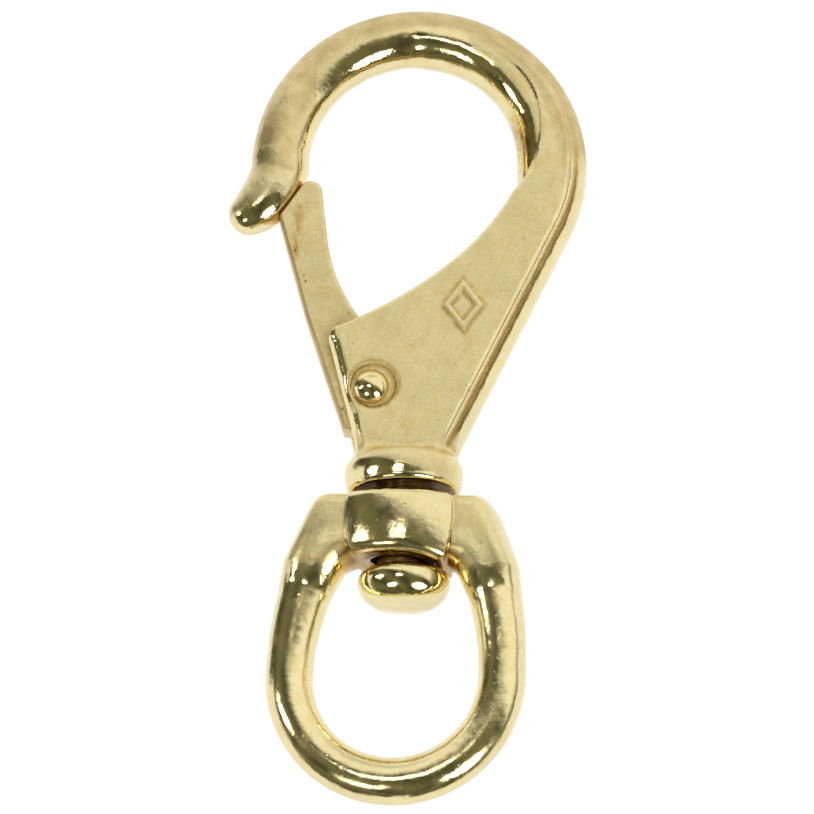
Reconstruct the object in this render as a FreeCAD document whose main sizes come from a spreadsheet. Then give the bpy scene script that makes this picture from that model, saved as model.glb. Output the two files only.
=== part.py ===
"""Swivel-eye snap hook in cast brass, modelled as six separate pieces.

Frame, in millimetres: +Z runs up the swivel's axis towards the bow, the face with
the raised mark looks along -Y, and the gate is on the -X side. The origin is the
seat on the inside of the bow, straight above the swivel, where a line's load bears.
"""
import FreeCAD, Part
import math
import os
import re

import Sketcher

os.makedirs("parts", exist_ok=True)
doc = FreeCAD.newDocument("snap_hook")
V = FreeCAD.Vector

# --- Driving dimensions -------------------------------------------------------

LENGTHS = {
    # bow, nose and spine: one round rod, bent and then straight
    "rod_radius": 3.9,
    "bow_radius": 19.05,
    "spine_lean": 26.2,        # degrees from vertical
    "nose_upper_radius": 3.95,
    "nose_lower_radius": 3.6,
    "nose_ball_radius": 2.87,
    "nose_lean": 55.2,         # degrees from horizontal, of the seat for the gate's tip
    # flat web and cheeks
    "web_half": 4.6,
    "web_step": 1.85,          # from the rod's outer line in to the web's edge
    "throat_radius": 58.0,
    "limb_rod_radius": 3.4,    # a second rod thickens the limb beside the web
    "cheek_round": 1.85,
    # collar
    "collar_radius": 8.0,
    "collar_rim_radius": 7.0,
    "collar_top_radius": 4.6,
    "collar_low_radius": 7.75,
    "collar_top_z": -57.5,
    "collar_wide_z": -59.1,
    "collar_low_z": -61.1,
    "collar_base_z": -61.9,
    "collar_rim_round": 0.8,
    "collar_side_round": 8.125,
    "collar_high_round": 2.08,
    # gate, its slot and its pivot
    "gate_half": 2.2,
    "slot_half": 2.45,
    "slot_wall_x": 0.4,
    "slot_floor_z": -55.3,
    "gate_edge_radius": 24.0,
    "gate_boss_radius": 3.62,
    "gate_tip_round": 1.7,
    "gate_round": 0.7,
    "gate_rest_gap": 0.04,
    "rivet_radius": 1.6,
    "rivet_play": 0.05,
    "rivet_head_radius": 2.5,
    "rivet_head_rise": 1.75,
    "dish_depth": 0.5,
    "dish_floor_radius": 2.6,
    "dish_mouth_radius": 3.4,
    # gate spring
    "spring_z": -42.0,
    "spring_radius": 1.35,     # to the wire's centre
    "spring_wire_radius": 0.22,
    "spring_seat_depth": 0.7,
    "spring_hole_end_x": 4.6,
    "spring_turns": 7.0,
    "spring_hole_radius": 1.75,
    "spring_play": 0.05,
    # swivel stud
    "tail_radius": 3.0,
    "tail_top_z": -56.7,
    "shank_radius": 3.6,
    "button_radius": 6.2,
    "button_top_z": -72.7,
    "button_wide_z": -74.3,
    "button_base_z": -78.2,
    "button_shoulder": 4.9,
    "button_flat_radius": 3.0,
    "button_flat_z": -77.75,
    # swivel eye, in its own upright frame
    "bridge_top_z": -63.1,
    "bridge_wide_z": -69.6,
    "bridge_base_z": -71.7,
    "bridge_top_half": 11.0,
    "bridge_base_half": 12.4,
    "bridge_wide_half": 13.6,
    "bridge_corner_round": 2.0,
    "boss_half_width": 7.1,
    "boss_half_depth": 5.6,
    "boss_face_radius": 12.0,
    "bridge_end_half_depth": 4.6,
    "eye_bore_radius": 4.1,
    "eye_rod_radius": 3.15,
    "eye_bend_radius": 14.2,
    "eye_bend_z": -87.3,
    "eye_limb_top_x": 9.5,
    "eye_limb_top_z": -67.5,
    "eye_tilt": 3.0,           # degrees, as the loose swivel hangs
    "eye_turn": 7.0,           # degrees about the stud
    "eye_tilt_z": -65.5,
    # raised mark
    "mark_half_width": 2.5,
    "mark_half_height": 3.3,
    "mark_bead": 0.75,
    "mark_rise": 0.35,
}

POINTS = {
    "bow": (2.1, -15.0),
    "nose_upper": (-18.3, -18.3),
    "nose_lower": (-19.9, -20.7),
    "nose_ball": (-21.1, -21.8),
    "nose_seat": (-15.28, -19.93),
    "cheek_left": (-10.2, -41.57),
    "cheek_top": (-9.08, -39.44),
    "throat_mid": (6.0, -30.5),
    "limb_low": (17.0, -16.9),
    "limb_top": (8.2, 2.9),
    "slot_mouth": (-14.0, -31.0),
    "limb_foot": (13.3, -28.35),
    "limb_side": (18.93, -17.3),
    "limb_upper": (18.93, -13.9),
    "limb_end": (3.7, 3.48),
    "web_foot_left": (-6.0, -58.0),
    "web_foot_right": (2.5, -58.0),
    "pivot": (-4.4, -48.0),
    "gate_tip": (-13.2, -17.62),
    "gate_tip_low": (-11.15, -19.4),
    "gate_inner": (-10.4, -26.5),
    "gate_throat": (-6.4, -36.9),
    "gate_shoulder": (-4.0, -40.2),
    "gate_seat_low": (-4.0, -44.4),
    "gate_heel_right": (-5.4, -53.6),
    "gate_heel_left": (-8.05, -53.3),
    "gate_outer": (-13.3, -36.9),
    "gate_outer_top": (-16.9, -23.2),
    "mark": (8.0, -36.6),
}

sizes = doc.addObject("Spreadsheet::Sheet", "sizes")


cells = dict(LENGTHS)
for point_name, (point_x, point_z) in POINTS.items():
    cells[f"{point_name}_x"] = point_x
    cells[f"{point_name}_z"] = point_z
for row, (alias, value) in enumerate(cells.items(), start=1):
    sizes.set(f"A{row}", alias)
    sizes.set(f"B{row}", str(value))
    sizes.setAlias(f"B{row}", alias)
doc.recompute()


def size(formula):
    """The value of a formula in cell aliases, such as 'pivot_x + 2'."""
    return float(sizes.evalExpression(formula))


def bound(formula):
    """The same formula as an object outside the sheet has to write it."""
    return re.sub(r"[A-Za-z_]\w*", lambda m: f"sizes.{m[0]}" if m[0] in cells else m[0], formula)


# --- Sketch and feature helpers -----------------------------------------------


def new_body(label):
    body = doc.addObject("PartDesign::Body", label)
    body.Label = label
    return body


def new_sketch(body, name, role="XZ_Plane", base=("0", "0", "0"), turn=None):
    """A sketch on one of the body's origin planes, shifted by three formulas."""
    sketch = body.newObject("Sketcher::SketchObject", name)
    plane = next(f for f in body.Origin.OriginFeatures if f.Role == role)
    sketch.AttachmentSupport = (plane, [""])
    sketch.MapMode = "FlatFace"
    start = V(*(size(formula) for formula in base))
    sketch.AttachmentOffset = FreeCAD.Placement(start, turn or FreeCAD.Rotation())
    for axis, formula in zip("xyz", base):
        if formula != "0":
            sketch.setExpression(f"AttachmentOffset.Base.{axis}", bound(formula))
    return sketch


def pin_point(sketch, geometry, end, formulas):
    """Hold one end of a sketch edge at two formulas."""
    for kind, formula in zip(("DistanceX", "DistanceY"), formulas):
        index = sketch.addConstraint(
            Sketcher.Constraint(kind, -1, 1, geometry, end, size(formula)))
        sketch.setExpression(f"Constraints[{index}]", bound(formula))


def arc_geometry(p, q, radius, turn):
    """The arc from p to q that turns left (1) or right (-1), and its two end numbers."""
    chord = q - p
    half = chord.Length / 2
    left = V(-chord.y, chord.x, 0) / chord.Length
    centre = (p + q) / 2 + left * (turn * math.sqrt(max(0, radius * radius - half * half)))
    first, last = (p, q) if turn > 0 else (q, p)
    angles = [math.atan2(c.y - centre.y, c.x - centre.x) for c in (first, last)]
    circle = Part.Circle(centre, V(0, 0, 1), radius)
    return Part.ArcOfCircle(circle, *angles), (1, 2) if turn > 0 else (2, 1)


def smooth_radius(p, q, heading):
    """Radius and turn of the arc from p to q that starts along a heading."""
    chord = q - p
    bend = heading.x * chord.y - heading.y * chord.x
    return chord.Length ** 2 * heading.Length / (2 * abs(bend)), 1 if bend > 0 else -1


def draw(sketch, corners, arcs=None, closed=True):
    """Draw a chain of edges through the corners, each corner held at its formulas.

    arcs maps an edge's number to (radius, turn), or to "smooth" for an arc that
    leaves its first corner in line with the edge before. Other edges are straight.
    """
    arcs = arcs or {}
    count = len(corners)
    places = [V(size(x), size(y), 0) for x, y in corners]
    edges = []
    heading = None
    for i in range(count if closed else count - 1):
        p, q = places[i], places[(i + 1) % count]
        kind = arcs.get(i)
        if kind is None:
            index, ends = sketch.addGeometry(Part.LineSegment(p, q), False), (1, 2)
            heading = q - p
        else:
            radius, turn = smooth_radius(p, q, heading) if kind == "smooth" else (size(kind[0]), kind[1])
            curve, ends = arc_geometry(p, q, radius, turn)
            index = sketch.addGeometry(curve, False)
            spoke = q - curve.Center
            heading = V(-spoke.y, spoke.x, 0) * turn
            if kind != "smooth":
                held = sketch.addConstraint(Sketcher.Constraint("Radius", index, radius))
                sketch.setExpression(f"Constraints[{held}]", bound(kind[0]))
        edges.append((index, *ends))
    for i, (index, first, last) in enumerate(edges):
        pin_point(sketch, index, first, corners[i])
        if closed or i + 1 < len(edges):
            after = (i + 1) % len(edges)
            relation = "Tangent" if arcs.get(after) == "smooth" else "Coincident"
            meeting = Sketcher.Constraint(relation, index, last, edges[after][0], edges[after][1])
            sketch.addConstraint(meeting)
        else:
            pin_point(sketch, index, last, corners[i + 1])


def draw_circle(sketch, radius, centre=("0", "0")):
    middle = V(size(centre[0]), size(centre[1]), 0)
    index = sketch.addGeometry(Part.Circle(middle, V(0, 0, 1), size(radius)), False)
    held = sketch.addConstraint(Sketcher.Constraint("Radius", index, size(radius)))
    sketch.setExpression(f"Constraints[{held}]", bound(radius))
    pin_point(sketch, index, 3, centre)


def at(name):
    """The two formulas of a named point."""
    return f"{name}_x", f"{name}_z"


def extrude(body, kind, name, sketch, length, midplane=False, reverse=False):
    feature = body.newObject(f"PartDesign::{kind}", name)
    feature.Profile = sketch
    feature.Length = size(length)
    feature.setExpression("Length", bound(length))
    feature.Midplane = midplane
    feature.Reversed = reverse
    return checked(feature)


def revolve(body, kind, name, sketch, axis="V_Axis"):
    feature = body.newObject(f"PartDesign::{kind}", name)
    feature.Profile = sketch
    feature.ReferenceAxis = (sketch, [axis])
    feature.Angle = 360
    return checked(feature)


def primitive(body, kind, name, spot, **formulas):
    """A torus or sphere centred on the hook's plane of symmetry, its sizes given as formulas."""
    feature = body.newObject(f"PartDesign::{kind}", name)
    plane = next(f for f in body.Origin.OriginFeatures if f.Role == "XZ_Plane")
    for name_of_size, formula in formulas.items():
        setattr(feature, name_of_size, size(formula))
        feature.setExpression(name_of_size, bound(formula))
    doc.recompute()
    start = V(size(spot[0]), size(spot[1]), 0)
    feature.AttachmentOffset = FreeCAD.Placement(start, FreeCAD.Rotation())
    feature.AttachmentSupport = (plane, [""])
    feature.MapMode = "FlatFace"
    for axis, formula in zip("xy", spot):
        feature.setExpression(f"AttachmentOffset.Base.{axis}", bound(formula))
    return checked(feature)


def pipe(body, name, profile, path, edge_count):
    feature = body.newObject("PartDesign::AdditivePipe", name)
    feature.Profile = profile
    feature.Spine = (path, [f"Edge{i + 1}" for i in range(edge_count)])
    feature.Transition = "Transformed"
    return checked(feature)


def fillet(body, name, base, radius, choose):
    """Round the base feature's edges that the function choose picks."""
    edges = base.Shape.Edges
    picked = [f"Edge{i + 1}" for i, edge in enumerate(edges) if choose(edge)]
    feature = body.newObject("PartDesign::Fillet", name)
    feature.Base = (base, picked)
    feature.Radius = size(radius)
    feature.setExpression("Radius", bound(radius))
    return checked(feature)


def checked(feature):
    """Recompute, and stop if the feature failed or left the solid as it was."""
    before = getattr(feature, "BaseFeature", None)
    feature.Refine = False
    doc.recompute()
    if feature.Shape.isNull() or not feature.Shape.isValid():
        raise RuntimeError(f"{feature.Name} has no valid shape")
    if before is not None and abs(before.Shape.Volume - feature.Shape.Volume) < 1e-4:
        raise RuntimeError(f"{feature.Name} changed nothing")
    return feature


def in_plane(edge, axis, value):
    box = edge.BoundBox
    low, high = getattr(box, f"{axis}Min"), getattr(box, f"{axis}Max")
    return abs(low - value) < 1e-4 and abs(high - value) < 1e-4


# --- hook_body ----------------------------------------------------------------

COS_LEAN = "cos(spine_lean)"
SIN_LEAN = "sin(spine_lean)"


def on_bow(offset, degrees):
    """The point at an angle on a circle about the bow's centre."""
    return (f"bow_x + ({offset}) * cos({degrees})", f"bow_z + ({offset}) * sin({degrees})")


def down_spine(offset, level):
    """Where the spine's line at this distance from the bow's centre meets a level Z."""
    return (f"bow_x + (({offset}) + (({level}) - bow_z) * {SIN_LEAN}) / {COS_LEAN}", level)


def on_nose_seat(along, out):
    """A point beside the flat on the nose: a distance up along it, and one out from it."""
    return (f"nose_seat_x + ({along}) * cos(nose_lean) + ({out}) * sin(nose_lean)",
            f"nose_seat_z + ({along}) * sin(nose_lean) - ({out}) * cos(nose_lean)")


def upright_arc(sagitta, rise):
    """Radius of an arc that starts square to its sagitta and climbs this far."""
    return f"(({sagitta}) ^ 2 + ({rise}) ^ 2) / (2 * ({sagitta}))"


def lozenge(half_width, half_height):
    return [(f"mark_x - ({half_width})", "mark_z"), ("mark_x", f"mark_z - ({half_height})"),
            (f"mark_x + ({half_width})", "mark_z"), ("mark_x", f"mark_z + ({half_height})")]


def facing(dx, dz):
    """The turn that points a sketch on the XZ plane along the direction (dx, dz)."""
    return FreeCAD.Rotation(V(dz, -dx, 0), V(0, 0, -1), V(dx, dz, 0), "ZXY")


def make_hook_body():
    body = new_body("hook_body")

    # The flat web, with the cheeks still closed.
    web_edge = "bow_radius + rod_radius - web_step"
    web = new_sketch(body, "web_outline")
    corners = [at("cheek_left"), at("cheek_top"), at("throat_mid"), at("limb_low"),
               at("limb_top"), on_bow(web_edge, "64"), on_bow(web_edge, "-spine_lean"),
               down_spine(web_edge, "web_foot_right_z"), at("web_foot_left")]
    draw(web, corners, {0: ("cheek_round", -1), 1: ("throat_radius", 1), 2: "smooth",
                        3: "smooth", 5: (web_edge, -1)})
    extrude(body, "Pad", "web", web, "2 * web_half", midplane=True)

    # The round rod: from the top of the nose over the bow and down the spine.
    path = new_sketch(body, "rod_path")
    draw(path, [on_bow("bow_radius", "180"), on_bow("bow_radius", "90"),
                on_bow("bow_radius", "-spine_lean"),
                down_spine("bow_radius", "web_foot_left_z")],
         {0: ("bow_radius", -1), 1: ("bow_radius", -1)}, closed=False)
    section = new_sketch(body, "rod_section", base=("bow_x - bow_radius", "bow_z", "0"),
                         turn=facing(0, 1))
    draw_circle(section, "rod_radius")
    pipe(body, "rod", section, path, 3)

    # The collar at the foot, with its blind bore for the swivel stud.
    profile = new_sketch(body, "collar_profile")
    draw(profile, [("0", "collar_base_z"), ("collar_rim_radius", "collar_base_z"),
                   ("collar_low_radius", "collar_low_z"), ("collar_radius", "collar_wide_z"),
                   ("collar_top_radius", "collar_top_z"), ("0", "collar_top_z")],
         {1: ("collar_rim_round", 1), 2: ("collar_side_round", 1),
          3: ("collar_high_round", 1)})
    revolve(body, "Revolution", "collar", profile)
    bore = new_sketch(body, "stud_bore_outline", "XY_Plane", base=("0", "0", "collar_base_z"))
    draw_circle(bore, "tail_radius")
    extrude(body, "Pocket", "stud_bore", bore, "tail_top_z - collar_base_z", reverse=True)

    # The slot that makes two cheeks of the web, open to the throat and to the left.
    slot = new_sketch(body, "slot_outline")
    draw(slot, [at("slot_mouth"), ("slot_mouth_x", "slot_floor_z"),
                ("slot_wall_x", "slot_floor_z"), ("slot_wall_x", "slot_mouth_z")])
    extrude(body, "Pocket", "gate_slot", slot, "2 * slot_half", midplane=True)

    # The rivet's hole, with a shallow dish around each head.
    hole = new_sketch(body, "rivet_hole_outline")
    draw_circle(hole, "rivet_radius", at("pivot"))
    extrude(body, "Pocket", "rivet_hole", hole, "2 * web_half + 1", midplane=True)
    dish = new_sketch(body, "dish_profile", "YZ_Plane", base=("0", "pivot_z", "pivot_x"))
    for side in ("-1", "1"):
        face, floor = f"{side} * web_half", f"{side} * (web_half - dish_depth)"
        clear = f"{side} * (web_half + 0.5)"
        draw(dish, [(floor, "0"), (floor, "dish_floor_radius"), (face, "dish_mouth_radius"),
                    (clear, "dish_mouth_radius"), (clear, "0")])
    revolve(body, "Groove", "rivet_dishes", dish, "H_Axis")

    # The gate spring's hole runs into the web from the slot's end wall.
    spring_hole = new_sketch(body, "spring_hole_outline", "YZ_Plane",
                             base=("0", "spring_z", "slot_wall_x - 0.5"))
    draw_circle(spring_hole, "spring_hole_radius")
    extrude(body, "Pocket", "spring_hole", spring_hole,
            "spring_hole_end_x - slot_wall_x + 0.5", reverse=True)

    # The raised mark, a plain lozenge drawn as a bead.
    mark = new_sketch(body, "mark_outline", base=("0", "0", "web_half"))
    for inset in ("0", "mark_bead"):
        draw(mark, lozenge(f"mark_half_width - {inset}", f"mark_half_height - {inset}"))
    extrude(body, "Pad", "raised_mark", mark, "mark_rise")

    # The limb beside the web is thicker inwards: a second rod merges with the first.
    limb = new_sketch(body, "limb_path")
    foot = upright_arc("limb_side_x - limb_foot_x", "limb_side_z - limb_foot_z")
    draw(limb, [at("limb_foot"), at("limb_side"), at("limb_upper"), at("limb_end")],
         {0: (foot, 1), 2: "smooth"}, closed=False)
    limb_section = new_sketch(body, "limb_section", base=("limb_side_x", "limb_side_z", "0"),
                              turn=facing(0, 1))
    draw_circle(limb_section, "limb_rod_radius")
    pipe(body, "limb", limb_section, limb, 3)

    # The nose flares outwards from the rod's end and closes in a ball.
    sections = []
    for name, spot, radius, way in (
            ("nose_start", on_bow("bow_radius", "180"), "rod_radius", (0, -1)),
            ("nose_upper", at("nose_upper"), "nose_upper_radius", (-0.42, -0.91)),
            ("nose_lower", at("nose_lower"), "nose_lower_radius", (-0.62, -0.78)),
            ("nose_end", at("nose_ball"), "nose_ball_radius", (-0.73, -0.68))):
        ring = new_sketch(body, name, base=(*spot, "0"), turn=facing(*way))
        draw_circle(ring, radius)
        sections.append(ring)
    loft = body.newObject("PartDesign::AdditiveLoft", "nose")
    loft.Profile = sections[0]
    loft.Sections = sections[1:]
    checked(loft)
    primitive(body, "AdditiveSphere", "nose_tip", at("nose_ball"), Radius="nose_ball_radius")

    # A flat on the nose, where the gate's tip comes to rest.
    seat = new_sketch(body, "nose_flat_outline")
    draw(seat, [on_nose_seat("3.4", "0"), on_nose_seat("-4.2", "0"),
                on_nose_seat("-4.2", "2"), on_nose_seat("3.4", "2")])
    extrude(body, "Pocket", "nose_flat", seat, "2 * rod_radius + 1", midplane=True)
    return body


# --- gate and its pivot -------------------------------------------------------


def make_gate():
    body = new_body("gate")
    outline = new_sketch(body, "gate_outline")
    boss_low = ("pivot_x + gate_boss_radius * cos(-60)", "pivot_z + gate_boss_radius * sin(-60)")
    corners = [at("gate_tip"), at("gate_tip_low"), at("gate_inner"), at("gate_throat"),
               at("gate_shoulder"), at("gate_seat_low"), boss_low, at("gate_heel_right"),
               at("gate_heel_left"), at("gate_outer"), at("gate_outer_top"),
               on_nose_seat("-3.1", "gate_rest_gap"), on_nose_seat("2.3", "gate_rest_gap")]
    draw(outline, corners, {0: ("gate_tip_round", -1), 2: ("gate_edge_radius", 1),
                            5: ("gate_boss_radius", -1)})
    pad = extrude(body, "Pad", "lever", outline, "2 * gate_half", midplane=True)

    outer = [corners[i] for i in (8, 9, 10)]
    ends = [V(size(x), 0, size(z)) for x, z in outer]

    def on_outer_edge(edge):
        feet = [V(vertex.X, 0, vertex.Z) for vertex in edge.Vertexes]
        return len(feet) == 2 and all(any(foot.isEqual(end, 1e-4) for end in ends) for foot in feet) \
            and not feet[0].isEqual(feet[1], 1e-4)

    fillet(body, "outer_edges", pad, "gate_round", on_outer_edge)

    hole = new_sketch(body, "pivot_hole_outline")
    draw_circle(hole, "rivet_radius + rivet_play", at("pivot"))
    extrude(body, "Pocket", "pivot_hole", hole, "2 * gate_half + 1", midplane=True)
    seat = new_sketch(body, "spring_seat_outline", "YZ_Plane",
                      base=("0", "spring_z", "gate_shoulder_x"))
    draw_circle(seat, "spring_hole_radius")
    extrude(body, "Pocket", "spring_seat", seat, "spring_seat_depth")
    return body


def make_gate_rivet():
    body = new_body("gate_rivet")
    profile = new_sketch(body, "rivet_profile", "YZ_Plane", base=("0", "pivot_z", "pivot_x"))
    seat, top = "web_half - dish_depth", "web_half - dish_depth + rivet_head_rise"
    dome = "(rivet_head_radius ^ 2 + rivet_head_rise ^ 2) / (2 * rivet_head_rise)"
    draw(profile, [(f"-({top})", "0"), (f"-({seat})", "rivet_head_radius"),
                   (f"-({seat})", "rivet_radius"), (seat, "rivet_radius"),
                   (seat, "rivet_head_radius"), (top, "0")],
         {0: (dome, -1), 4: (dome, -1)})
    revolve(body, "Revolution", "rivet", profile, "H_Axis")
    return body


def make_gate_spring():
    body = new_body("gate_spring")
    start = "gate_shoulder_x - spring_seat_depth + spring_wire_radius + spring_play"
    end = "spring_hole_end_x - spring_wire_radius - spring_play"
    wire = new_sketch(body, "wire_section", base=(start, "spring_z", "0"))
    draw_circle(wire, "spring_wire_radius", ("0", "spring_radius"))
    coil = body.newObject("PartDesign::AdditiveHelix", "coil")
    coil.Profile = wire
    coil.ReferenceAxis = (wire, ["H_Axis"])
    coil.Mode = "height-turns-angle"
    coil.Height = size(f"{end} - ({start})")
    coil.setExpression("Height", bound(f"{end} - ({start})"))
    coil.Turns = size("spring_turns")
    coil.setExpression("Turns", bound("spring_turns"))
    checked(coil)
    return body


# --- swivel -------------------------------------------------------------------


def make_swivel_stud():
    body = new_body("swivel_stud")
    profile = new_sketch(body, "stud_profile")
    draw(profile, [("0", "tail_top_z"), ("tail_radius", "tail_top_z"),
                   ("tail_radius", "collar_base_z"), ("shank_radius", "collar_base_z"),
                   ("shank_radius", "button_top_z"), ("button_shoulder", "button_top_z"),
                   ("button_radius", "button_wide_z"), ("button_flat_radius", "button_flat_z"),
                   ("0", "button_base_z")],
         {5: (upright_arc("button_radius - button_shoulder", "button_top_z - button_wide_z"), -1),
          6: (upright_arc("button_radius - button_flat_radius",
                          "button_wide_z - button_flat_z"), -1),
          7: (upright_arc("button_flat_z - button_base_z", "button_flat_radius"), -1)})
    revolve(body, "Revolution", "stud", profile)
    return body


def make_swivel_eye():
    body = new_body("swivel_eye")

    # The bridge, seen from the front, then trimmed in plan to a boss and two facets.
    front = new_sketch(body, "bridge_outline")
    draw(front, [("-bridge_top_half", "bridge_top_z"), ("-bridge_wide_half", "bridge_wide_z"),
                 ("-bridge_base_half", "bridge_base_z"), ("bridge_base_half", "bridge_base_z"),
                 ("bridge_wide_half", "bridge_wide_z"), ("bridge_top_half", "bridge_top_z")])
    block = extrude(body, "Pad", "bridge", front, "2 * boss_half_depth + 5", midplane=True)
    top = size("bridge_top_z")

    def top_corner(edge):
        return in_plane(edge, "Z", top) and in_plane(edge, "X", edge.BoundBox.XMin)

    block = fillet(body, "bridge_corners", block, "bridge_corner_round", top_corner)
    plan = new_sketch(body, "bridge_trim", "XY_Plane", base=("0", "0", "bridge_top_z"))
    wide, deep = "bridge_wide_half + 1.3", "boss_half_depth + 3"
    for side, turn in (("-1", -1), ("1", 1)):
        face = f"{side} * boss_half_depth"
        end = f"{side} * bridge_end_half_depth"
        draw(plan, [("-boss_half_width", face), ("boss_half_width", face), (wide, end),
                    (wide, f"{side} * ({deep})"), (f"-({wide})", f"{side} * ({deep})"),
                    (f"-({wide})", end)],
             {0: ("boss_face_radius", -turn)})
    extrude(body, "Pocket", "bridge_facets", plan, "bridge_top_z - bridge_base_z + 1")

    # The oval rod: two long limbs and a round bend.
    path = new_sketch(body, "eye_path")
    limb_arc = upright_arc("eye_bend_radius - eye_limb_top_x", "eye_limb_top_z - eye_bend_z")
    draw(path, [("eye_limb_top_x", "eye_limb_top_z"), ("eye_bend_radius", "eye_bend_z"),
                ("0", "eye_bend_z - eye_bend_radius"), ("-eye_bend_radius", "eye_bend_z"),
                ("-eye_limb_top_x", "eye_limb_top_z")],
         {0: (limb_arc, -1), 1: ("eye_bend_radius", -1), 2: ("eye_bend_radius", -1),
          3: (limb_arc, -1)}, closed=False)
    rise = size("eye_limb_top_z - eye_bend_z")
    lean = math.asin(rise / size(limb_arc))
    section = new_sketch(body, "eye_section", base=("eye_limb_top_x", "eye_limb_top_z", "0"),
                         turn=facing(math.sin(lean), -math.cos(lean)))
    draw_circle(section, "eye_rod_radius")
    pipe(body, "oval", section, path, 4)

    bore = new_sketch(body, "eye_bore_outline", "XY_Plane", base=("0", "0", "bridge_top_z"))
    draw_circle(bore, "eye_bore_radius")
    extrude(body, "Pocket", "eye_bore", bore, "bridge_top_z - bridge_base_z + 1")

    # The loose bore lets the eye hang a little askew on the stud.
    tilt = FreeCAD.Rotation(V(0, 1, 0), size("eye_tilt"))
    hang = tilt * FreeCAD.Rotation(V(0, 0, 1), -size("eye_turn"))
    middle = V(0, 0, size("eye_tilt_z"))
    body.Placement = FreeCAD.Placement(middle, hang) * FreeCAD.Placement(-middle, FreeCAD.Rotation())
    return body


# --- build, check and export --------------------------------------------------

subparts = [make_hook_body(), make_gate(), make_gate_rivet(), make_gate_spring(),
            make_swivel_stud(), make_swivel_eye()]
doc.recompute()
for item in doc.Objects:
    if "Invalid" in item.State or "Error" in item.State:
        raise RuntimeError(f"{item.Name} failed: {item.State}")
for subpart in subparts:
    if subpart.Shape.isNull() or not subpart.Shape.isValid() or len(subpart.Shape.Solids) != 1:
        raise RuntimeError(f"{subpart.Label} is not one valid solid")
for subpart in subparts:
    subpart.Shape.exportStep(f"parts/{subpart.Label}.step")
    box = subpart.Shape.BoundBox
    print(f"{subpart.Label:12s} {subpart.Shape.Volume:9.1f} mm3"
          f"  x {box.XMin:7.2f} {box.XMax:7.2f}  y {box.YMin:6.2f} {box.YMax:6.2f}"
          f"  z {box.ZMin:8.2f} {box.ZMax:7.2f}")
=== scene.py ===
import math

import bpy
import numpy as np
from mathutils import Matrix, Vector


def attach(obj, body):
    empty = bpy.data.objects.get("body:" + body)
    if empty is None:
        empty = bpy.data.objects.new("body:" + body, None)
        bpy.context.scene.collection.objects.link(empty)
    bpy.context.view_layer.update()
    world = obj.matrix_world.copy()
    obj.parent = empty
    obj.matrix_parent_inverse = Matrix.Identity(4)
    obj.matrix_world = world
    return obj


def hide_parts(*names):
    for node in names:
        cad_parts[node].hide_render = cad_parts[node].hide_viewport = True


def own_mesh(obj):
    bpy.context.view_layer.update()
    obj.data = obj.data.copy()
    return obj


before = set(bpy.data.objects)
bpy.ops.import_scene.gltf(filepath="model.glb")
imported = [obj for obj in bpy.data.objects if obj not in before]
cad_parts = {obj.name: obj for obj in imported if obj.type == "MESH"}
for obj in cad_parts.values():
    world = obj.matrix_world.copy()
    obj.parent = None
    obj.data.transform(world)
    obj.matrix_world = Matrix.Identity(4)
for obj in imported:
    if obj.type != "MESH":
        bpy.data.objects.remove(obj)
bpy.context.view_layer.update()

MM = 0.001
COARSE = 1.0     # how much wider the steps of the meshes are


# --- signed distances, in millimetres -----------------------------------------


def smooth_min(a, b, k):
    """The union of two shapes, with a fillet about k wide where they meet."""
    h = np.maximum(k - np.abs(a - b), 0.0) / k
    return np.minimum(a, b) - h * h * k / 4


def smooth_max(a, b, k):
    """What two shapes share, with a rounding about k wide where they meet."""
    return -smooth_min(-a, -b, k)


def rise(value, start, end):
    """0 at start and before it, 1 at end and after it. End may be the lower of the two."""
    return np.clip((value - start) / (end - start), 0, 1)


def eased(value, start, end):
    """The same with no corner at either end."""
    t = rise(value, start, end)
    return t * t * (3 - 2 * t)


def crossed(a, b, c, d):
    """Cross product of (a, b) and (c, d)."""
    return a * d - b * c


def segment(u, w, a, b):
    """Distance in a plane from a straight line between two points, and how far along it."""
    du, dw = b[0] - a[0], b[1] - a[1]
    t = np.clip(((u - a[0]) * du + (w - a[1]) * dw) / (du * du + dw * dw), 0.0, 1.0)
    return np.hypot(u - a[0] - t * du, w - a[1] - t * dw), t


def arc(u, w, a, b, c):
    """Distance in a plane from the arc, under half a turn, between a and b about c."""
    radius = math.dist(a, c)
    turn = math.copysign(1, crossed(a[0] - c[0], a[1] - c[1], b[0] - c[0], b[1] - c[1]))
    pu, pw = u - c[0], w - c[1]
    within = (turn * crossed(a[0] - c[0], a[1] - c[1], pu, pw) >= 0) & (
        turn * crossed(pu, pw, b[0] - c[0], b[1] - c[1]) >= 0)
    ends = np.minimum(np.hypot(u - a[0], w - a[1]), np.hypot(u - b[0], w - b[1]))
    return np.where(within, np.abs(np.hypot(pu, pw) - radius), ends)


def outline(u, w, sides):
    """Signed distance to a closed outline of (corner, centre of the arc that follows it)."""
    nearest, inside = np.inf, False
    for (a, c), (b, _) in zip(sides, sides[1:] + sides[:1]):
        rise = (b[1] - a[1]) or 1e-9
        crossing = ((a[1] > w) != (b[1] > w)) & (u < a[0] + (w - a[1]) * (b[0] - a[0]) / rise)
        inside = inside ^ crossing
        if c is None:
            nearest = np.minimum(nearest, segment(u, w, a, b)[0])
            continue
        nearest = np.minimum(nearest, arc(u, w, a, b, c))
        chord = b[0] - a[0], b[1] - a[1]
        beyond = crossed(*chord, u - a[0], w - a[1]) * crossed(*chord, c[0] - a[0], c[1] - a[1]) < 0
        inside = inside ^ (beyond & (np.hypot(u - c[0], w - c[1]) < math.dist(a, c)))
    return np.where(inside, -nearest, nearest)


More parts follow.
